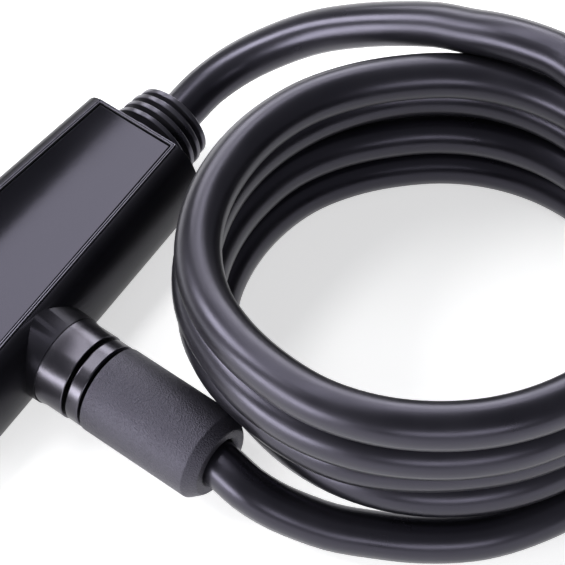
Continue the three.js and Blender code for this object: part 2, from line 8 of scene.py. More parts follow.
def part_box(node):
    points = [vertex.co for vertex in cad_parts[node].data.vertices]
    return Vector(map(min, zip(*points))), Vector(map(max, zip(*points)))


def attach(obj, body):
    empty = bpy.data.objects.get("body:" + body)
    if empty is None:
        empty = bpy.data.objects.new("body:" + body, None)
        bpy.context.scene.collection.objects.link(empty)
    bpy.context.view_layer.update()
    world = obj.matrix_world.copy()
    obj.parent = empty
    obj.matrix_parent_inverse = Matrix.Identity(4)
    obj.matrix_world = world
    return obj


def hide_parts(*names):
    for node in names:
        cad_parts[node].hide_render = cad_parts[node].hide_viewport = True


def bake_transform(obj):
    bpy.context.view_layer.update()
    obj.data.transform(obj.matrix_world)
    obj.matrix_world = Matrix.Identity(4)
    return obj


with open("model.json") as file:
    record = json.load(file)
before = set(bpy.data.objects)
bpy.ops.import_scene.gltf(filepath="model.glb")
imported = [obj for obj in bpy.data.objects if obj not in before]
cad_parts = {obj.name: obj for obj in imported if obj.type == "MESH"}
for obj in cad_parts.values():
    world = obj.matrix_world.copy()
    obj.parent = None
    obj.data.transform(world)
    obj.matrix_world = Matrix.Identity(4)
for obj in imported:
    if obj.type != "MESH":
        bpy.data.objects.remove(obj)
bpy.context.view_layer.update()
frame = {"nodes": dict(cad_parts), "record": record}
nodes = frame["nodes"]
mm = 0.001
weldGap = 1e-6  # points closer than this are one point
coolSheen = (0.80, 0.76, 1.0, 1)  # the black plastics shine slightly blue


# where things are, read from the CAD nodes
panelLow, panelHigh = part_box("face_panel")
gripLow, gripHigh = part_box("side_grip")
collarLow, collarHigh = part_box("socket_collar")
ringLow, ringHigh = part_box("plug_ring")
sleeveLow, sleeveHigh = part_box("plug_sleeve")
barrelLow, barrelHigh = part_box("key_barrel")
keyRingLow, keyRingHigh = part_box("key_ring")
coverLow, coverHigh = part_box("keyhole_cover")
grommetLow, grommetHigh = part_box("grommet")
shankLow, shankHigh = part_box("plug_shank")
axisZ = (barrelLow.z + barrelHigh.z) / 2  # cable, plug and key all lie at this height
plugY = (sleeveLow.y + sleeveHigh.y) / 2
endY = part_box("lower_casing")[1].y  # the flat end that the cable comes out of
alongY = Vector((0, 0, axisZ))
alongX = Vector((0, plugY, axisZ))


view = {
    "place": (0.3023, -0.2345, 0.5515),
    "azimuth": 131.5,  # which way it looks in plan, degrees from +X
    "down": 55.5,
    "roll": -4.38,
    "lens": 159.15,
    "sensor": 36,
    "near": 0.01,
    "far": 20,
}


def makeCamera():
    azimuth = math.radians(view["azimuth"])
    down = math.radians(view["down"])
    roll = math.radians(view["roll"])
    flat = Vector((math.cos(azimuth), math.sin(azimuth), 0))
    forward = flat * math.cos(down) - Vector((0, 0, 1)) * math.sin(down)
    right = Vector((math.sin(azimuth), -math.cos(azimuth), 0))
    up = right.cross(forward)
    rolledRight = right * math.cos(roll) + up * math.sin(roll)
    rolledUp = up * math.cos(roll) - right * math.sin(roll)
    turn = Matrix((rolledRight, rolledUp, -forward)).transposed().to_4x4()
    lens = bpy.data.cameras.new("camera")
    lens.sensor_width = view["sensor"]
    lens.lens = view["lens"]
    lens.clip_start = view["near"]
    lens.clip_end = view["far"]
    camera = bpy.data.objects.new("camera", lens)
    camera.matrix_world = Matrix.Translation(view["place"]) @ turn
    bpy.context.scene.collection.objects.link(camera)
    bpy.context.scene.camera = camera


makeCamera()
print("camera in place")


noiseSpan = (0.3, 0.7)  # most of a noise's values lie between these
plasticIor = 1.48
vinylIor = 1.5


def newMaterial(name):
    material = bpy.data.materials.new(name)
    material.use_nodes = True
    tree = material.node_tree
    return material, tree, tree.nodes["Principled BSDF"]


def addNode(tree, kind, **inputs):
    node = tree.nodes.new(kind)
    for label, value in inputs.items():
        node.inputs[label].default_value = value
    return node


def addNoise(tree, scale, detail):
    # noise laid on the piece's own coordinates
    noise = addNode(tree, "ShaderNodeTexNoise", Scale=scale, Detail=detail)
    place = tree.nodes.new("ShaderNodeTexCoord").outputs["Object"]
    tree.links.new(place, noise.inputs["Vector"])
    return noise.outputs["Fac"]


def rangeOf(tree, source, low, high):
    # spreads a noise over low..high
    node = tree.nodes.new("ShaderNodeMapRange")
    node.inputs["From Min"].default_value = noiseSpan[0]
    node.inputs["From Max"].default_value = noiseSpan[1]
    node.inputs["To Min"].default_value = low
    node.inputs["To Max"].default_value = high
    tree.links.new(source, node.inputs["Value"])
    return node.outputs["Result"]


def tintBetween(tree, source, dark, light):
    ramp = tree.nodes.new("ShaderNodeValToRGB")
    for stop, place, colour in zip(ramp.color_ramp.elements, noiseSpan, (dark, light)):
        stop.position = place
        stop.color = (*colour, 1)
    tree.links.new(source, ramp.inputs["Fac"])
    return ramp.outputs["Color"]


def addTone(tree, shader, tintSource, glossSource, look):
    # lets the colour and the gloss wander a little over the surface
    tint = tintBetween(tree, tintSource, look["dark"], look["light"])
    tree.links.new(tint, shader.inputs["Base Color"])
    gloss = rangeOf(tree, glossSource, look["roughLow"], look["roughHigh"])
    tree.links.new(gloss, shader.inputs["Roughness"])


def addBump(tree, shader, source, depth, below=None):
    bump = addNode(tree, "ShaderNodeBump", Strength=1.0, Distance=depth)
    tree.links.new(source, bump.inputs["Height"])
    if below is not None:
        tree.links.new(below, bump.inputs["Normal"])
    tree.links.new(bump.outputs["Normal"], shader.inputs["Normal"])
    return bump.outputs["Normal"]


def plasticFinish(name, look):
    # moulded plastic, rubber or a smooth coat: broad tone drift and a fine grain in relief
    material, tree, shader = newMaterial(name)
    drift = addNoise(tree, look["driftScale"], 3.0)
    grain = addNoise(tree, look["grainScale"], 2.0)
    addTone(tree, shader, drift, drift, look)
    shader.inputs["Specular IOR Level"].default_value = look["specular"]
    shader.inputs["IOR"].default_value = plasticIor
    if "metallic" in look:
        shader.inputs["Metallic"].default_value = look["metallic"]
    else:
        shader.inputs["Specular Tint"].default_value = coolSheen
    addBump(tree, shader, grain, look["grainDepth"])
    return material


def sleeveFinish(name, look):
    # spark-eroded texture: dense rounded pits of two sizes, with painted shade in the pits and
    # painted highlight on the tops between them
    material, tree, shader = newMaterial(name)
    pitsAndPaintedShade = addNoise(tree, look["pitScale"], 3.0)
    drift = addNoise(tree, look["driftScale"], 2.0)
    beads = addNode(tree, "ShaderNodeTexVoronoi", Scale=look["beadScale"])
    place = tree.nodes.new("ShaderNodeTexCoord").outputs["Object"]
    tree.links.new(place, beads.inputs["Vector"])
    # painted shade and highlight: the colour is darker in the pits and lighter on the tops, following
    # the pits' own noise
    addTone(tree, shader, pitsAndPaintedShade, drift, look)
    shader.inputs["Specular IOR Level"].default_value = look["specular"]
    shader.inputs["Specular Tint"].default_value = coolSheen
    coarse = addBump(tree, shader, beads.outputs["Distance"], look["beadDepth"])
    addBump(tree, shader, pitsAndPaintedShade, look["pitDepth"], below=coarse)
    return material


def cableFinish(name, look):
    # extruded vinyl: faint lengthwise drag lines over a slow drift and a fine grain
    material, tree, shader = newMaterial(name)
    own = tree.nodes.new("ShaderNodeUVMap")
    own.uv_map = "cableMap"
    stretch = addNode(tree, "ShaderNodeMapping", Scale=look["lineScale"])
    tree.links.new(own.outputs["UV"], stretch.inputs["Vector"])
    lines = addNode(tree, "ShaderNodeTexNoise", Scale=1.0, Detail=2.0)
    tree.links.new(stretch.outputs["Vector"], lines.inputs["Vector"])
    drift = addNoise(tree, look["driftScale"], 3.0)
    grain = addNoise(tree, look["grainScale"], 2.0)
    addTone(tree, shader, drift, drift, look)
    shader.inputs["Specular IOR Level"].default_value = look["specular"]
    shader.inputs["IOR"].default_value = vinylIor
    shader.inputs["Specular Tint"].default_value = coolSheen
    drag = addBump(tree, shader, lines.outputs["Fac"], look["lineDepth"])
    addBump(tree, shader, grain, look["grainDepth"], below=drag)
    return material


def metalFinish(name, look):
    # turned, cast or plated metal: fine marks and slightly cloudy gloss
    material, tree, shader = newMaterial(name)
    marks = addNoise(tree, look["markScale"], 4.0)
    cloud = addNoise(tree, look["cloudScale"], 3.0)
    addTone(tree, shader, cloud, cloud, look)
    shader.inputs["Metallic"].default_value = look["metallic"]
    addBump(tree, shader, marks, look["markDepth"])
    return material


satinLook = {
    "dark": (0.0030, 0.0030, 0.0038), "light": (0.0048, 0.0047, 0.0058),
    "roughLow": 0.30, "roughHigh": 0.38, "specular": 0.22,
    "driftScale": 45.0, "grainScale": 2600.0, "grainDepth": 0.000006,
}
panelLook = {
    "dark": (0.0020, 0.0020, 0.0028), "light": (0.0032, 0.0032, 0.0042),
    "roughLow": 0.030, "roughHigh": 0.050, "specular": 0.40,
    "driftScale": 30.0, "grainScale": 300.0, "grainDepth": 0.0000008,
}
# the bead is the casing's satin black, made glossier and about ten times lighter: the lighter colour
# is a painted highlight on its ridges
beadGlossAndPaintedHighlight = {
    "dark": (0.030, 0.030, 0.034), "light": (0.042, 0.042, 0.047),
    "roughLow": 0.18, "roughHigh": 0.24, "specular": 1.0,
    "driftScale": 60.0, "grainScale": 900.0, "grainDepth": 0.000002,
}
gripLook = {
    "dark": (0.0060, 0.0060, 0.0065), "light": (0.0105, 0.0105, 0.0110),
    "roughLow": 0.62, "roughHigh": 0.74, "specular": 0.4,
    "driftScale": 80.0, "grainScale": 3200.0, "grainDepth": 0.00003,
}
grommetLook = {
    "dark": (0.0170, 0.0167, 0.0195), "light": (0.0260, 0.0254, 0.0290),
    "roughLow": 0.26, "roughHigh": 0.34, "specular": 0.95,
    "driftScale": 90.0, "grainScale": 2400.0, "grainDepth": 0.000008,
}
coatLook = {
    "dark": (0.066, 0.063, 0.077), "light": (0.084, 0.080, 0.096), "metallic": 1.0,
    "roughLow": 0.22, "roughHigh": 0.29, "specular": 0.5,
    "driftScale": 70.0, "grainScale": 1800.0, "grainDepth": 0.000004,
}
nylonLook = {
    "dark": (0.58, 0.56, 0.50), "light": (0.66, 0.64, 0.58),
    "roughLow": 0.48, "roughHigh": 0.58, "specular": 0.4,
    "driftScale": 60.0, "grainScale": 1500.0, "grainDepth": 0.000008,
}
sleeveLook = {
    # dark is painted shade in the sleeve's pits, light a painted highlight on the tops between them
    "dark": (0.0045, 0.0042, 0.0055), "light": (0.0280, 0.0268, 0.0320),
    "roughLow": 0.42, "roughHigh": 0.52, "specular": 0.75, "driftScale": 60.0,
    "pitScale": 2200.0, "pitDepth": 0.00016, "beadScale": 2600.0, "beadDepth": 0.00009,
}
cableLook = {
    "dark": (0.0045, 0.0044, 0.0056), "light": (0.0074, 0.0072, 0.0088),
    "roughLow": 0.27, "roughHigh": 0.36, "specular": 0.64,
    "driftScale": 60.0, "grainScale": 1400.0, "grainDepth": 0.000004,
    "lineScale": (26.0, 60.0, 1.0), "lineDepth": 0.000012,
}
steelLook = {
    "dark": (0.44, 0.45, 0.47), "light": (0.60, 0.61, 0.63), "metallic": 1.0,
    "roughLow": 0.24, "roughHigh": 0.36, "cloudScale": 90.0,
    "markScale": 1500.0, "markDepth": 0.000006,
}
castLook = {
    "dark": (0.36, 0.36, 0.37), "light": (0.47, 0.47, 0.48), "metallic": 1.0,
    "roughLow": 0.45, "roughHigh": 0.60, "cloudScale": 90.0,
    "markScale": 700.0, "markDepth": 0.00003,
}
brassLook = {
    "dark": (0.50, 0.37, 0.16), "light": (0.66, 0.50, 0.24), "metallic": 1.0,
    "roughLow": 0.24, "roughHigh": 0.36, "cloudScale": 90.0,
    "markScale": 1200.0, "markDepth": 0.000006,
}

finishes = {
    "bead": plasticFinish("beadBlackPaintedHighlight", beadGlossAndPaintedHighlight),
    "satin_black": plasticFinish("satinBlack", satinLook),
    "gloss_black": plasticFinish("glossBlack", panelLook),
    "grip_rubber": plasticFinish("gripRubber", gripLook),
    "grommet_rubber": plasticFinish("grommetRubber", grommetLook),
    "black_metal": plasticFinish("blackCoat", coatLook),
    "nylon": plasticFinish("plainNylon", nylonLook),
    "sleeve_black": sleeveFinish("sleeveBlack", sleeveLook),
    "cable_black": cableFinish("cableBlack", cableLook),
    "steel": metalFinish("platedSteel", steelLook),
    "cast_alloy": metalFinish("castAlloy", castLook),
    "brass": metalFinish("turnedBrass", brassLook),
}
print("finishes made")

# every CAD node gets the finish of its own slot; most are replaced by the pieces below
for part in frame["record"]["subparts"]:
    mesh = nodes[part["node"]].data
    mesh.materials.clear()
    mesh.materials.append(finishes[part["material_slot"]])


def objectFrom(bm, name):
    # puts a shape in the scene as an object; a cutter leaves it again once it has cut
    mesh = bpy.data.meshes.new(name)
    bm.to_mesh(mesh)
    bm.free()
    made = bpy.data.objects.new(name, mesh)
    bpy.context.scene.collection.objects.link(made)
    return made


def finishPiece(bm, name, body, slotName, replaced=(), smooth=32.0, bevel=0.0, segments=2,
                finish=None):
    # gives the shape its finish and body, and rounds its edges
    piece = objectFrom(bm, name)
    mesh = piece.data
    mesh.shade_smooth()
    mesh.set_sharp_from_angle(angle=math.radians(smooth))
    mesh.materials.append(finishes[finish or slotName])
    if bevel > 0:
        edge = piece.modifiers.new("edge", "BEVEL")
        edge.width = bevel
        edge.segments = segments
        edge.limit_method = "ANGLE"
        edge.angle_limit = math.radians(smooth)
        edge.harden_normals = True
    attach(piece, body)
    if replaced:
        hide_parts(*replaced)
    return piece


def chain(bm, points, closed=True):
    # a row of points joined by edges
    made = [bm.verts.new(p) for p in points]
    edges = [bm.edges.new(pair) for pair in zip(made, made[1:])]
    if closed:
        edges.append(bm.edges.new((made[-1], made[0])))
    return made, edges


def spun(axis, centre, profile, closed=True, steps=72):
    # profile holds (along, radius) pairs in metres; its points on the axis are merged
    bm = bmesh.new()
    points = []
    for along, radius in profile:
        if axis == "x":
            points.append((along, centre.y, centre.z + radius))
        elif axis == "y":
            points.append((centre.x, along, centre.z + radius))
        else:
            points.append((centre.x + radius, centre.y, along))
    made, edges = chain(bm, points, closed)
    turn = {"x": (1, 0, 0), "y": (0, 1, 0), "z": (0, 0, 1)}[axis]
    bmesh.ops.spin(
        bm, geom=made + edges, cent=centre, axis=turn, dvec=(0, 0, 0),
        angle=2 * math.pi, steps=steps, use_merge=True,
    )
    bmesh.ops.remove_doubles(bm, verts=bm.verts, dist=weldGap)
    bmesh.ops.recalc_face_normals(bm, faces=bm.faces)
    return bm


def boxMesh(low, high):
    bm = bmesh.new()
    bmesh.ops.create_cube(bm, size=1)
    low, high = Vector(low), Vector(high)
    size = high - low
    bmesh.ops.scale(bm, vec=size, verts=bm.verts)
    bmesh.ops.translate(bm, vec=(low + high) / 2, verts=bm.verts)
    return bm


def cutWith(bm, tools, operation="DIFFERENCE"):
    # applies booleans in turn and returns the result as a new bmesh
    target = objectFrom(bm, "cutTarget")
    for tool in tools:
        cut = target.modifiers.new("cut", "BOOLEAN")
        cut.operation = operation
        cut.solver = "EXACT"
        cut.object = tool
    bpy.context.view_layer.update()
    graph = bpy.context.evaluated_depsgraph_get()
    mesh = bpy.data.meshes.new_from_object(target.evaluated_get(graph))
    result = bmesh.new()
    result.from_mesh(mesh)
    for scratch in (target, *tools):
        old = scratch.data
        bpy.data.objects.remove(scratch)
        bpy.data.meshes.remove(old)
    bpy.data.meshes.remove(mesh)
    bmesh.ops.remove_doubles(result, verts=result.verts, dist=2 * weldGap)
    bmesh.ops.dissolve_degenerate(result, edges=result.edges, dist=2 * weldGap)
    return result


cable = {
    "diameter": 0.012,
    "centre": (97.5, 57.5),  # of the coil, in millimetres as the route is
    "lowLevel": 6.02,  # height of the lowest turn's middle line
    "pitch": 12.2,  # from one level to the next
    "turns": 5,
    "farDirection": 131.5,  # azimuth of the side away from the viewer
    "start": 62,  # degrees past the far side where the coil takes over
    "stop": 1636,
    "pointEvery": 14,  # degrees between the coil's points
    "routeStep": 0.003,
    "roundness": 6,
    "crease": 50,
}
# radius of the coil's middle line at places round it, degrees clockwise past the far side
coilRadii = [
    (0, 61.0), (60, 59.8), (90, 58.8), (180, 57.0), (225, 57.8), (270, 60.4), (315, 59.6),
    (360, 57.2), (450, 57.6), (540, 57.6), (600, 59.8), (630, 62.0), (675, 62.0),
    (720, 61.4), (810, 57.6), (900, 53.7), (945, 56.8), (990, 61.4), (1035, 60.4),
    (1080, 57.6), (1170, 56.6), (1260, 54.0), (1318, 53.4), (1332, 55.4), (1356, 59.0),
    (1395, 58.6), (1440, 56.6), (1530, 57.4), (1596, 58.9), (1627, 60.2), (1643, 61.5),
]
leadIn = [
    (0, 49.3, 13.2), (0, 62, 13.2), (0, 71, 13.5), (1.2, 80.2, 15.8), (6.2, 89.6, 20.6),
    (14.0, 97.4, 26.4), (22.8, 103.2, 32.2), (33.4, 107.5, 38.0), (44.6, 110.8, 43.4),
    (55.8, 113.5, 48.0), (64.5, 114.8, 50.4), (73.3, 116.4, 52.8), (82.4, 117.8, 54.2),
    (92, 118.4, 54.8),
]
leadOut = [
    (116.6, -1, 6.02), (108.7, -5, 6.7), (99, -8.5, 8.6), (93.5, -10.1, 10.4),
    (87.5, -10.9, 12.2), (82, -10.4, 13.0), (77, -9.7, 13.2), (72, -9.5, 13.2),
    (66.6, -9.5, 13.2),
]


def radiusAt(turned):
    for (a, low), (b, high) in zip(coilRadii, coilRadii[1:]):
        if a <= turned <= b:
            share = (1 - math.cos(math.pi * (turned - a) / (b - a))) / 2
            return low + (high - low) * share
    return coilRadii[-1][1]


def levelAt(turned):
    level = int(turned // 360)
    top = cable["lowLevel"] + cable["pitch"] * (cable["turns"] - 1 - level)
    share = turned % 360 / 180 - 1
    if share <= 0 or level == cable["turns"] - 1:
        return top
    return top - cable["pitch"] * (1 - math.cos(math.pi * share)) / 2


def coilPoints():
    points = []
    turned = cable["start"]
    while turned <= cable["stop"]:
        azimuth = math.radians(cable["farDirection"] - turned)
        radius = radiusAt(turned)
        points.append((
            cable["centre"][0] + radius * math.cos(azimuth),
            cable["centre"][1] + radius * math.sin(azimuth),
            levelAt(turned),
        ))
        turned += cable["pointEvery"]
    return points


def smoothRoute(points):
    # one smooth curve through all the points, in metres
    knots = [Vector(p) * mm for p in points]
    route = [knots[0]]
    for i in range(len(knots) - 1):
        here, there = knots[i], knots[i + 1]
        before = knots[i - 1] if i else here * 2 - there
        after = knots[i + 2] if i + 2 < len(knots) else there * 2 - here
        span = (there - here).length
        count = max(2, round(span / cable["routeStep"]))
        leaving = (there - before) * span / ((there - here).length + (here - before).length)
        coming = (after - here) * span / ((after - there).length + (there - here).length)
        for k in range(1, count + 1):
            t = k / count
            route.append(
                here * (2 * t**3 - 3 * t**2 + 1) + leaving * (t**3 - 2 * t**2 + t)
                + there * (3 * t**2 - 2 * t**3) + coming * (t**3 - t**2)
            )
    return route


def makeCable():
    route = smoothRoute(leadIn + coilPoints() + leadOut)
    line = bpy.data.curves.new("cable", "CURVE")
    line.dimensions = "3D"
    line.bevel_depth = cable["diameter"] / 2
    line.bevel_resolution = cable["roundness"]
    line.use_fill_caps = True
    line.twist_mode = "Z_UP"
    spline = line.splines.new("POLY")
    spline.points.add(len(route) - 1)
    for point, place in zip(spline.points, route):
        point.co = (*place, 1)
    holder = bpy.data.objects.new("cableLine", line)
    bpy.context.scene.collection.objects.link(holder)
    bpy.context.view_layer.update()
    graph = bpy.context.evaluated_depsgraph_get()
    mesh = bpy.data.meshes.new_from_object(holder.evaluated_get(graph))
    bpy.data.objects.remove(holder)
    while mesh.uv_layers:
        mesh.uv_layers.remove(mesh.uv_layers[0])
    bm = bmesh.new()
    bm.from_mesh(mesh)
    bmesh.ops.remove_doubles(bm, verts=bm.verts, dist=weldGap)
    bmesh.ops.recalc_face_normals(bm, faces=bm.faces)
    bm.to_mesh(mesh)
    bm.free()
    mesh.name = "cable"
    mapCable(mesh, route)
    mesh.shade_smooth()
    mesh.set_sharp_from_angle(angle=math.radians(cable["crease"]))
    piece = bpy.data.objects.new("cable", mesh)
    bpy.context.scene.collection.objects.link(piece)
    mesh.materials.clear()
    mesh.materials.append(finishes["cable_black"])
    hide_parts("cable_lead_in", "cable_coil", "cable_lead_out")
    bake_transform(piece)
    length = sum((b - a).length for a, b in zip(route, route[1:]))
    print("cable length", round(length, 4))
    return piece, route, length


def mapCable(mesh, route):
    # a map that follows the cable: across is the way round, up is the place along it
    layer = mesh.uv_layers.new(name="cableMap")
    along = [0.0]
    for a, b in zip(route, route[1:]):
        along.append(along[-1] + (b - a).length)
    ringSize = round(len(mesh.vertices) / len(route))
    for face in mesh.polygons:
        for loop in face.loop_indices:
            index = mesh.loops[loop].vertex_index
            ring = min(index // ringSize, len(route) - 1)
            way = index % ringSize / ringSize
            layer.data[loop].uv = (way, along[ring])


cablePiece, cableRoute, cableLength = makeCable()
print("cable made")


casing = {
    "endHalf": 0.0134,  # half width of the flat top at the cable end
    "keyHalf": 0.0205,
    "bulge": 0.0066,  # how far the sides swell at half height
    "keyOutline": 0.0494,  # the flat top's outline ends here, measured from the middle
    "corner": 0.006,
    "cornerFacets": 8,
    "wall": 0.002,
    "levels": 18,  # rings from the underside to the top
    "crossCuts": 13,
    "beadInset": 0.00015,
    "beadWidth": 0.00115,
    "beadHeight": 0.0006,
    "gap": 0.0003,
    "parting": 0.0048,
    "recessPast": 0.005,  # the cutter of the grip's recess starts this far outside it
    "recessTo": -0.005,
    "upperEdge": 0.00025,
    "lowerEdge": 0.0002,
}
boss = {"radius": 0.0131, "start": 0.006, "draftFrom": 0.0165, "end": 0.0272, "draft": 0.0004}
opening = {"collar": (0.010, 0.05), "cable": (0.045, 0.06), "key": (-0.06, -0.045), "room": 0.0001}
grommet = {
    "neck": 0.0089,
    "groove": 0.0096,  # radius between the ribs
    "bore": 0.0061,
    "start": 0.0024,
    "pitch": 0.0031,
    "rib": 0.002,
    "heights": (0.0030, 0.0027, 0.0024, 0.0018),  # the ribs get lower away from the head
    "draft": 0.0003,
    "inner": 0.0106,  # radius of the flange inside the head
    "innerThick": 0.0024,
    "mouth": 0.0009,
    "mouthDepth": 0.0005,
    "edge": 0.00028,
}
collar = {
    "radius": 0.0122,
    "root": 0.0124,
    "rootEnd": 0.0286,
    "step": 0.0008,
    "mouth": 0.00885,
    "mouthDepth": 0.0025,
    "bore": 0.0083,
    "edge": 0.0006,
}
housingRadius = 0.0075
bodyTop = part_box("upper_casing")[1].z - casing["beadHeight"]
roofHalf = bodyTop / 2


def halfWidth(y):
    share = (endY - y) / (2 * endY)
    return casing["endHalf"] + (casing["keyHalf"] - casing["endHalf"]) * share


def planFace(bm, inset=0.0, far=0.004, z=0.0):
    # flat outline of the head's top, rounded at the key end
    low = -casing["keyOutline"] + inset
    high = endY + far
    corners = [
        (halfWidth(high) - inset, high, z), (-halfWidth(high) + inset, high, z),
        (-halfWidth(low) + inset, low, z), (halfWidth(low) - inset, low, z),
    ]
    made = [bm.verts.new(p) for p in corners]
    bm.faces.new(made)
    bmesh.ops.bevel(
        bm, geom=made[2:], offset=casing["corner"], offset_type="OFFSET",
        segments=casing["cornerFacets"], profile=0.5, affect="VERTICES", material=-1,
    )
    bm.faces.ensure_lookup_table()
    return bm.faces[0]


def outwardNormals(face):
    # mitred directions that widen the outline evenly
    loops = [v for v in face.verts]
    if face.normal.z < 0:
        loops.reverse()
    found = {}
    for i, vert in enumerate(loops):
        before = (vert.co - loops[i - 1].co).normalized()
        after = (loops[(i + 1) % len(loops)].co - vert.co).normalized()
        first = Vector((before.y, -before.x, 0))
        second = Vector((after.y, -after.x, 0))
        middle = (first + second).normalized()
        found[vert] = middle / max(0.3, middle.dot(first))
    return found


def headSolid(inset=0.0, out=0.0):
    # the head's outer form as a closed solid: the outline rises, swells to half height and
    # draws in again; inset moves every face inward, out only widens the sides
    bm = bmesh.new()
    face = planFace(bm, inset=inset - out, z=inset)
    bm.normal_update()
    outward = outwardNormals(face)
    base = {v: v.co.copy() for v in face.verts}
    half = roofHalf - inset
    levels = casing["levels"]
    rings = [list(face.verts)]
    for level in range(1, levels + 1):
        turn = math.pi * level / levels
        lift = Vector((0, 0, half * (1 - math.cos(turn))))
        swell = casing["bulge"] * math.sin(turn)
        rings.append([bm.verts.new(base[v] + outward[v] * swell + lift) for v in rings[0]])
    for lower, upper in zip(rings, rings[1:]):
        edges = []
        for ring in (lower, upper):
            for i, vert in enumerate(ring):
                pair = (vert, ring[(i + 1) % len(ring)])
                edges.append(bm.edges.get(pair) or bm.edges.new(pair))
        bmesh.ops.bridge_loops(bm, edges=edges)
    bm.faces.new(rings[-1])
    bmesh.ops.recalc_face_normals(bm, faces=bm.faces)
    for way in (1, -1):
        cutFlat(bm, (0, way * (endY - inset), 0), (0, way, 0))
    return bm


def cutFlat(bm, place, normal):
    # removes what lies beyond the plane and closes the cut
    bmesh.ops.bisect_plane(
        bm, geom=bm.verts[:] + bm.edges[:] + bm.faces[:], dist=weldGap / 10,
        plane_co=place, plane_no=normal, clear_outer=True,
    )
    rim = [e for e in bm.edges if e.is_boundary]
    bmesh.ops.contextual_create(bm, geom=rim)
    bmesh.ops.recalc_face_normals(bm, faces=bm.faces)


def crossLoops(bm):
    # even cross cuts, so that the long sides shade smoothly round the openings
    for i in range(1, casing["crossCuts"] + 1):
        y = -endY + 2 * endY * i / (casing["crossCuts"] + 1)
        bmesh.ops.bisect_plane(
            bm, geom=bm.verts[:] + bm.edges[:] + bm.faces[:], dist=weldGap / 10,
            plane_co=(0, y, 0), plane_no=(0, 1, 0),
        )


def largestFace(bm, z):
    level = (f for f in bm.faces if abs(f.calc_center_median().z - z) < 1e-5)
    return max(level, key=lambda f: f.calc_area())


def spinTool(axis, centre, radius, reach, steps=64):
    # a plain round cutter between two places along its axis
    start, end = reach
    profile = [(start, 0), (start, radius), (end, radius), (end, 0)]
    return objectFrom(spun(axis, centre, profile, closed=False, steps=steps), "cutter")


def passages():
    # what passes through both casings: the plug's collar, the cable and the key's housing
    gap = casing["gap"]
    return [
        spinTool("x", alongX, collar["root"] + opening["room"], opening["collar"]),
        spinTool("y", alongY, grommet["neck"] + gap, opening["cable"]),
        spinTool("y", alongY, housingRadius + gap, opening["key"]),
        objectFrom(headSolid(casing["wall"]), "hollow"),
    ]


def addBoss(bm):
    # the round swelling of both casings that the collar stands in
    profile = [
        (boss["start"], 0), (boss["start"], boss["radius"]), (boss["draftFrom"], boss["radius"]),
        (boss["end"], boss["radius"] - boss["draft"]), (boss["end"], 0),
    ]
    return cutWith(bm, [objectFrom(spun("x", alongX, profile, closed=False), "boss")], "UNION")


def makeUpperCasing():
    gap = casing["gap"]
    bm = headSolid()
    roof = largestFace(bm, bodyTop)
    rim = casing["beadInset"] + casing["beadWidth"]
    bmesh.ops.inset_individual(bm, faces=[roof], thickness=rim)
    sunk = bmesh.ops.extrude_face_region(bm, geom=[roof])
    seat = [g for g in sunk["geom"] if isinstance(g, bmesh.types.BMVert)]
    depth = bodyTop - panelLow.z + gap
    bmesh.ops.translate(bm, vec=(0, 0, -depth), verts=seat)
    if roof.is_valid:
        bmesh.ops.delete(bm, geom=[roof], context="FACES_ONLY")
    crossLoops(bm)
    bm = addBoss(bm)
    cutFlat(bm, (0, 0, casing["parting"] + gap / 2), (0, 0, -1))
    recess = boxMesh(
        (gripLow.x - casing["recessPast"], gripLow.y - gap, gripLow.z - gap),
        (casing["recessTo"], gripHigh.y + gap, gripHigh.z + gap),
    )
    bm = cutWith(bm, passages() + [objectFrom(recess, "gripRecess")])
    return finishPiece(bm, "upperCasing", "head", "satin_black", ["upper_casing"],
                       smooth=30, bevel=casing["upperEdge"], segments=3)


screw = {
    "head": 0.0025,
    "headTop": 0.0022,
    "headDraft": 0.0003,
    "headHeight": 0.001,
    "thread": 0.0013,
    "core": 0.0011,
    "threadFrom": 0.0018,
    "threadPitch": 0.0009,
    "threadStep": 0.0003,
    "threadStop": 0.0016,  # the thread ends this far before the tip's end
    "tip": 0.0013,
    "slotHalf": 0.00028,
    "slotReach": 0.0015,
    "slotDepth": 0.0007,
    "slotPast": 0.001,
    "sinkHole": 0.0028,
    "sinkReach": (-0.001, 0.0015),
    "shankHole": 0.0016,
    "shankReach": (0.001, 0.005),
}


def makeLowerCasing():
    bm = headSolid()
    crossLoops(bm)
    bm = addBoss(bm)
    cutFlat(bm, (0, 0, casing["parting"] - casing["gap"] / 2), (0, 0, 1))
    cuts = passages()
    for number in range(1, 5):
        low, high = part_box(f"casing_screw_{number}")
        centre = (low + high) / 2
        cuts.append(spinTool("z", centre, screw["sinkHole"], screw["sinkReach"], 32))
        cuts.append(spinTool("z", centre, screw["shankHole"], screw["shankReach"], 32))
    bm = cutWith(bm, cuts)
    return finishPiece(bm, "lowerCasing", "head", "satin_black", ["lower_casing"],
                       smooth=30, bevel=casing["lowerEdge"], segments=3)


bead = {"ridge": 0.00042, "groove": 0.00031, "foot": 0.0002, "sunk": 0.0005, "round": 0.00009}


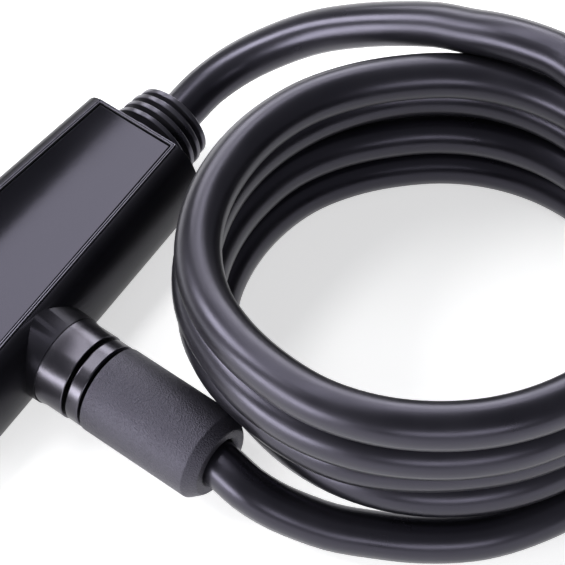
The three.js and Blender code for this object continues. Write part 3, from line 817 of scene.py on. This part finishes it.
def makeBead():
    # double raised frame round the panel: two slim ridges with a groove between them
    bm = bmesh.new()
    inner = planFace(bm, inset=casing["beadInset"], far=-casing["beadInset"],
                     z=bodyTop - bead["foot"])
    rings = []
    for width in (bead["ridge"], bead["groove"], bead["ridge"]):
        rings.append(bmesh.ops.inset_individual(bm, faces=[inner], thickness=width)["faces"])
    bmesh.ops.delete(bm, geom=[inner], context="FACES_ONLY")
    whole = [f for ring in rings for f in ring]
    middle = [f.calc_center_median().xy.copy() for f in rings[1]]
    up = bmesh.ops.extrude_face_region(bm, geom=whole, use_keep_orig=True)
    lifted = [g for g in up["geom"] if isinstance(g, bmesh.types.BMVert)]
    topFaces = [g for g in up["geom"] if isinstance(g, bmesh.types.BMFace)]
    bmesh.ops.translate(bm, vec=(0, 0, casing["beadHeight"] + bead["foot"]), verts=lifted)
    valley = [f for f in topFaces
              if any((f.calc_center_median().xy - c).length < weldGap for c in middle)]
    down = bmesh.ops.extrude_face_region(bm, geom=valley)
    lowered = [g for g in down["geom"] if isinstance(g, bmesh.types.BMVert)]
    bmesh.ops.delete(bm, geom=[f for f in valley if f.is_valid], context="FACES_ONLY")
    bmesh.ops.translate(bm, vec=(0, 0, -bead["sunk"]), verts=lowered)
    bmesh.ops.recalc_face_normals(bm, faces=bm.faces)
    # its finish is a lighter copy of the satin black: painted highlight on the ridges, with real
    # extra gloss
    return finishPiece(bm, "panelBead", "head", "satin_black", smooth=30,
                       bevel=bead["round"], segments=3, finish="bead")


panel = {"room": 0.00014, "edge": 0.00024}  # room is the slit between it and the bead


def makePanel():
    # polished plate let in inside the bead, its top edge rounded
    bm = bmesh.new()
    inset = casing["beadInset"] + casing["beadWidth"] + panel["room"]
    planFace(bm, inset=inset, far=-inset, z=panelLow.z)
    up = bmesh.ops.extrude_face_region(bm, geom=bm.faces[:], use_keep_orig=True)
    lifted = [g for g in up["geom"] if isinstance(g, bmesh.types.BMVert)]
    bmesh.ops.translate(bm, vec=(0, 0, panelHigh.z - panelLow.z), verts=lifted)
    bmesh.ops.recalc_face_normals(bm, faces=bm.faces)
    return finishPiece(bm, "topPanel", "head", "gloss_black", ["face_panel"],
                       smooth=30, bevel=panel["edge"], segments=4)


grip = {
    "bars": 15,
    "barWidth": 0.0016,
    "barShort": 0.003,  # how much shorter the bars are than the inlay is high
    "barDepth": 0.03,
    "barPlace": -0.02,
    "proud": 0.0007,
    "padProud": 0.0002,  # between the bars
    "margin": 0.004,
    "deep": 0.0015,
    "barDeep": 0.0009,
    "keepPast": 0.002,
    "keepTo": -0.004,  # only the far side of the head's form is kept for the inlay
    "edge": 0.0002,
}


def makeGrip():
    # soft inlay on the far side, the shape of the casing's side, with raised bars
    body = headSolid(out=grip["padProud"])
    crossLoops(body)
    keep = boxMesh((gripLow.x - grip["keepPast"], gripLow.y, gripLow.z),
                   (grip["keepTo"], gripHigh.y, gripHigh.z))
    pad = cutWith(body, [objectFrom(keep, "gripKeep")], "INTERSECT")
    pad = cutWith(pad, [objectFrom(headSolid(grip["deep"]), "gripBack")])
    field = bmesh.new()
    first = gripLow.y + grip["margin"] + grip["barWidth"] / 2
    pitch = (gripHigh.y - gripLow.y - 2 * grip["margin"] - grip["barWidth"]) / (grip["bars"] - 1)
    barSize = (grip["barDepth"], grip["barWidth"], gripHigh.z - gripLow.z - grip["barShort"])
    for i in range(grip["bars"]):
        made = bmesh.ops.create_cube(field, size=1)["verts"]
        bmesh.ops.scale(field, vec=barSize, verts=made)
        bmesh.ops.translate(field, vec=(grip["barPlace"], first + i * pitch, axisZ), verts=made)
    raised = headSolid(out=grip["proud"])
    bars = cutWith(raised, [objectFrom(field, "gripField")], "INTERSECT")
    bars = cutWith(bars, [objectFrom(headSolid(grip["barDeep"]), "gripBack")])
    bm = cutWith(pad, [objectFrom(bars, "gripBars")], "UNION")
    return finishPiece(bm, "sideGrip", "head", "grip_rubber", ["side_grip"],
                       smooth=30, bevel=grip["edge"], segments=2)


makeUpperCasing()
makeLowerCasing()
makeBead()
makePanel()
makeGrip()
print("casings made")


def makeGrommet():
    # turned round the cable: a flange inside the head, a neck, and ribs that get lower
    inside = grommetLow.y
    flangeEnd = inside + grommet["innerThick"]
    tallest = (grommetHigh.z - grommetLow.z) / 2
    profile = [
        (inside, grommet["bore"]), (inside, grommet["inner"]), (flangeEnd, grommet["inner"]),
        (flangeEnd, grommet["neck"]), (endY + casing["gap"], grommet["neck"]),
        (endY + casing["gap"], grommet["groove"]),
    ]
    for i, height in enumerate(grommet["heights"]):
        near = endY + grommet["start"] + i * grommet["pitch"]
        far = near + grommet["rib"]
        tall = min(grommet["groove"] + height, tallest)
        profile += [
            (near, grommet["groove"]), (near + grommet["draft"], tall),
            (far - grommet["draft"], tall), (far, grommet["groove"]),
        ]
    end = far + grommet["draft"]
    profile[-1] = (end, grommet["groove"])
    profile += [
        (end, grommet["bore"] + grommet["mouth"]), (end - grommet["mouthDepth"], grommet["bore"]),
    ]
    bm = spun("y", alongY, profile)
    return finishPiece(bm, "ribbedGrommet", "head", "grommet_rubber", ["grommet"],
                       smooth=28, bevel=grommet["edge"], segments=3)


makeGrommet()
print("grommet made")


plug = {
    "shank": 0.006,
    "shankRoom": 0.0003,
    "shankEdge": 0.0003,
    "tipDraft": 0.0012,
    "grooveRadius": 0.0032,
    "groove": (-0.0004, 0.0034),  # where the locking plate engages, along the plug
    "stop": (0.0423, 0.0439),
    "stopRadius": 0.0084,
    "tail": 0.004,  # radius of the part that the crimp holds
    "ring": 0.0119,
    "ringEdge": 0.0005,
}
sleeve = {
    "radius": 0.0121,
    "shoulder": 0.0012,
    "shoulderLength": 0.0006,
    "endLength": 0.0030,
    "endDepth": 0.0021,
    "endRound": 0.0005,
    "lip": 0.0006,
    "mouth": 0.0071,
    "mouthDepth": 0.0008,
    "bore": 0.0063,
    "cableBore": 0.00615,
    "crimpRoom": (0.042, 0.068),  # hollow for the crimp, along the plug
    "crimpRadius": 0.0088,
    "edge": 0.00035,
}


def makeCollar():
    mouthEnd = collarHigh.x - collar["mouthDepth"]
    profile = [
        (collarLow.x, collar["bore"]), (collarLow.x, collar["root"]),
        (collar["rootEnd"], collar["root"]), (collar["rootEnd"] + collar["step"], collar["radius"]),
        (collarHigh.x, collar["radius"]), (collarHigh.x, collar["mouth"]),
        (mouthEnd, collar["mouth"]), (mouthEnd, collar["bore"]),
    ]
    bm = spun("x", alongX, profile)
    return finishPiece(bm, "plugCollar", "head", "black_metal", ["socket_collar"],
                       smooth=28, bevel=collar["edge"], segments=4)


def makePlugRing():
    bore = plug["shank"] + plug["shankRoom"]
    profile = [
        (ringLow.x, bore), (ringLow.x, plug["ring"]),
        (ringHigh.x, plug["ring"]), (ringHigh.x, bore),
    ]
    bm = spun("x", alongX, profile)
    return finishPiece(bm, "plugRing", "plug", "black_metal", ["plug_ring"],
                       smooth=28, bevel=plug["ringEdge"], segments=4)


def makePlugSleeve():
    # turned sleeve, hollow for the crimp, with a long chamfer where the cable leaves it
    start, end = sleeveLow.x, sleeveHigh.x
    full = sleeve["radius"]
    shoulder = start + sleeve["shoulderLength"]
    narrow = full - sleeve["endDepth"]
    near, far = sleeve["crimpRoom"]
    profile = [
        (start, sleeve["bore"]), (start, full - sleeve["shoulder"]),
        (shoulder, full - sleeve["shoulder"]), (shoulder, full), (end - sleeve["endLength"], full),
        (end - sleeve["endRound"], narrow), (end, narrow - sleeve["lip"]), (end, sleeve["mouth"]),
        (end - sleeve["mouthDepth"], sleeve["cableBore"]), (far, sleeve["cableBore"]),
        (far, sleeve["crimpRadius"]), (near, sleeve["crimpRadius"]), (near, sleeve["bore"]),
    ]
    bm = spun("x", alongX, profile, steps=96)
    return finishPiece(bm, "plugSleeve", "plug", "sleeve_black", ["plug_sleeve"],
                       smooth=28, bevel=sleeve["edge"], segments=3)


def makePlugShank():
    # steel pin with the groove that the locking plate drops into, and a stop in the sleeve
    radius, tip = plug["shank"], shankLow.x
    grooveStart, grooveEnd = plug["groove"]
    stopStart, stopEnd = plug["stop"]
    profile = [
        (tip, 0), (tip, radius - plug["tipDraft"]), (tip + plug["tipDraft"], radius),
        (grooveStart, radius), (grooveStart, plug["grooveRadius"]),
        (grooveEnd, plug["grooveRadius"]), (grooveEnd, radius),
        (stopStart, radius), (stopStart, plug["stopRadius"]),
        (stopEnd, plug["stopRadius"]), (stopEnd, plug["tail"]),
        (shankHigh.x, plug["tail"]), (shankHigh.x, 0),
    ]
    bm = spun("x", alongX, profile, closed=False)
    return finishPiece(bm, "plugShank", "plug", "steel", ["plug_shank"],
                       smooth=28, bevel=plug["shankEdge"], segments=3)


makeCollar()
makePlugRing()
makePlugSleeve()
makePlugShank()
print("plug made")


keyRing = {"radius": 0.0094, "flange": 0.0012, "neck": 0.0059, "bore": 0.0053, "edge": 0.0003}


def makeKeyRing():
    front, flangeEnd, rear = keyRingLow.y, keyRingLow.y + keyRing["flange"], keyRingHigh.y
    profile = [
        (front, keyRing["bore"]), (front, keyRing["radius"]), (flangeEnd, keyRing["radius"]),
        (flangeEnd, keyRing["neck"]), (rear, keyRing["neck"]), (rear, keyRing["bore"]),
    ]
    bm = spun("y", alongY, profile)
    return finishPiece(bm, "keyRing", "head", "black_metal", ["key_ring"],
                       smooth=28, bevel=keyRing["edge"], segments=3)


barrel = {
    "radius": 0.005,
    "clipGroove": (-0.0311, -0.0299),
    "clipRadius": 0.0041,
    "keyway": (0.001, 0.0035),  # half width and half height
    "keywayEnd": -0.034,
    "past": 0.01,  # cutters reach this far beyond the barrel
    "waferRoom": 0.0003,
    "edge": 0.00012,
}


def makeKeyBarrel():
    # turned barrel with its keyway, its wafer slots and the groove for the clip
    front, rear = barrelLow.y, barrelHigh.y
    grooveStart, grooveEnd = barrel["clipGroove"]
    radius = barrel["radius"]
    profile = [
        (front, 0), (front, radius), (grooveStart, radius), (grooveStart, barrel["clipRadius"]),
        (grooveEnd, barrel["clipRadius"]), (grooveEnd, radius), (rear, radius), (rear, 0),
    ]
    bm = spun("y", alongY, profile, closed=False)
    halfWide, halfTall = barrel["keyway"]
    keyway = boxMesh((-halfWide, front - barrel["past"], axisZ - halfTall),
                     (halfWide, barrel["keywayEnd"], axisZ + halfTall))
    cuts = [objectFrom(keyway, "keywayCut")]
    room, past = barrel["waferRoom"], barrel["past"]
    for number in range(1, 5):
        low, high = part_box(f"wafer_{number}")
        slot = boxMesh((low.x - room, low.y - room, axisZ - past),
                       (high.x + room, high.y + room, axisZ + past))
        cuts.append(objectFrom(slot, "waferCut"))
    bm = cutWith(bm, cuts)
    return finishPiece(bm, "keyBarrel", "barrel", "brass", ["key_barrel"],
                       smooth=30, bevel=barrel["edge"], segments=2)


cover = {
    "radius": 0.0063,
    "rim": 0.0003,
    "face": 0.0050,
    "dish": 0.0038,
    "dishDepth": 0.0004,
    "pivotRise": 0.0072,  # the pivot stands this far above the keyway
    "ear": 0.0023,
    "hole": 0.00135,
    "past": 0.002,
    "edge": 0.00015,
}
coverPivot = {"pin": 0.00105, "head": 0.002, "headTop": 0.0012, "draft": 0.0004, "headEnd": 0.0007}
pivotLine = Vector((0, 0, axisZ + cover["pivotRise"]))


def makeCover():
    # dust cover: a dished disc with an ear round the pivot
    back, front = coverHigh.y, coverLow.y
    dish = front + cover["dishDepth"]
    disc = spun("y", alongY, [
        (back, 0), (back, cover["radius"]), (front + cover["rim"], cover["radius"]),
        (front, cover["face"]), (dish, cover["dish"]), (dish, 0)], closed=False)
    ear = spun("y", pivotLine, [
        (back, 0), (back, cover["ear"]), (front, cover["ear"]), (front, 0)], False, 40)
    bm = cutWith(disc, [objectFrom(ear, "coverEar")], "UNION")
    reach = (back + cover["past"], front - cover["past"])
    bm = cutWith(bm, [spinTool("y", pivotLine, cover["hole"], reach, 32)])
    return finishPiece(bm, "keyholeCover", "cover", "satin_black", ["keyhole_cover"],
                       smooth=30, bevel=cover["edge"], segments=2)


def makeCoverPivot():
    low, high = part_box("cover_pivot")
    headEnd = low.y + coverPivot["headEnd"]
    profile = [
        (low.y, 0), (low.y, coverPivot["headTop"]), (low.y + coverPivot["draft"], coverPivot["head"]),
        (headEnd, coverPivot["head"]), (headEnd, coverPivot["pin"]),
        (high.y, coverPivot["pin"]), (high.y, 0),
    ]
    bm = spun("y", pivotLine, profile, closed=False, steps=32)
    return finishPiece(bm, "coverPivot", "head", "black_metal", ["cover_pivot"], smooth=50)


def makeScrew(number):
    # pan head with a cross slot, and a thread cut as rings
    low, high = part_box(f"casing_screw_{number}")
    centre = (low + high) / 2
    headEnd = low.z + screw["headHeight"]
    profile = [
        (low.z, 0), (low.z, screw["headTop"]), (low.z + screw["headDraft"], screw["head"]),
        (headEnd, screw["head"]), (headEnd, screw["thread"]),
    ]
    z = low.z + screw["threadFrom"]
    step = screw["threadStep"]
    while z < high.z - screw["threadStop"]:
        profile += [(z, screw["thread"]), (z + step, screw["core"]), (z + 2 * step, screw["core"])]
        z += screw["threadPitch"]
    profile += [(high.z - screw["tip"], screw["thread"]), (high.z, 0)]
    bm = spun("z", centre, profile, closed=False, steps=32)
    long, slim, deep = screw["slotReach"], screw["slotHalf"], screw["slotDepth"]
    cuts = []
    for wide, tall in ((long, slim), (slim, long)):
        slot = boxMesh((centre.x - wide, centre.y - tall, low.z - screw["slotPast"]),
                       (centre.x + wide, centre.y + tall, low.z + deep))
        cuts.append(objectFrom(slot, "slot"))
    bm = cutWith(bm, cuts)
    return finishPiece(bm, f"casingScrew{number}", "head", "steel", [f"casing_screw_{number}"],
                       smooth=30)


makeKeyRing()
makeKeyBarrel()
makeCover()
makeCoverPivot()
for number in range(1, 5):
    makeScrew(number)
print("key end made")


studio = {
    "floor": (0.86, 0.86, 0.86),
    "floorSize": 3.0,
    "floorLevel": -0.0003,
    "floorRough": 0.85,
    "floorSpecular": 0.1,
    "glow": 0.62,  # lifts the shadows on the floor as a lit table does
    "world": (0.80, 0.81, 0.86),
    "worldStrength": 0.26,
    "aim": (0.05, 0.02, 0.02),
}
# each light's place, size and power; all but the first face the object
lights = {
    # a broad box beyond the object: its near edge is the line across the polished panel
    "farBox": ((-0.53, 0.50, 1.2), (0.32, 1.55), 8.4),
    # lower and further back, for the upper edges of the cable
    "backBox": ((-0.92, 1.14, 0.80), (1.3, 0.55), 15.0),
    # a low box by the key end lights the undersides of the collar and sleeve
    "frontBox": ((-0.42, -1.10, 0.24), (0.9, 0.40), 13.0),
    "leftBox": ((-1.00, -0.42, 0.92), (0.5, 0.5), 12.0),
    "nearBox": ((0.95, -0.95, 0.55), (0.9, 0.35), 5.0),
}


def makeFloor():
    bm = bmesh.new()
    bmesh.ops.create_grid(bm, x_segments=1, y_segments=1, size=studio["floorSize"])
    bmesh.ops.translate(bm, vec=(0, 0, studio["floorLevel"]), verts=bm.verts)
    floor = objectFrom(bm, "floor")
    material, tree, shader = newMaterial("paperWhite")
    shader.inputs["Base Color"].default_value = (*studio["floor"], 1)
    shader.inputs["Roughness"].default_value = studio["floorRough"]
    shader.inputs["Specular IOR Level"].default_value = studio["floorSpecular"]
    shader.inputs["Emission Color"].default_value = (1, 1, 1, 1)
    shader.inputs["Emission Strength"].default_value = studio["glow"]
    floor.data.materials.append(material)


def addLight(name, place, size, power, faces):
    light = bpy.data.lights.new(name, "AREA")
    light.shape = "RECTANGLE"
    light.size, light.size_y = size
    light.energy = power
    holder = bpy.data.objects.new(name, light)
    if faces:
        direction = Vector(studio["aim"]) - Vector(place)
        holder.rotation_euler = direction.to_track_quat("-Z", "Y").to_euler()
    holder.location = place
    bpy.context.scene.collection.objects.link(holder)


def makeLights():
    world = bpy.data.worlds.new("studio")
    world.use_nodes = True
    back = world.node_tree.nodes["Background"]
    back.inputs["Color"].default_value = (*studio["world"], 1)
    back.inputs["Strength"].default_value = studio["worldStrength"]
    bpy.context.scene.world = world
    for name, (place, size, power) in lights.items():
        addLight(name, place, size, power, faces=name != "farBox")


makeFloor()
makeLights()
bpy.context.scene.view_settings.view_transform = "Standard"
bpy.context.scene.view_settings.look = "None"
print("studio ready")
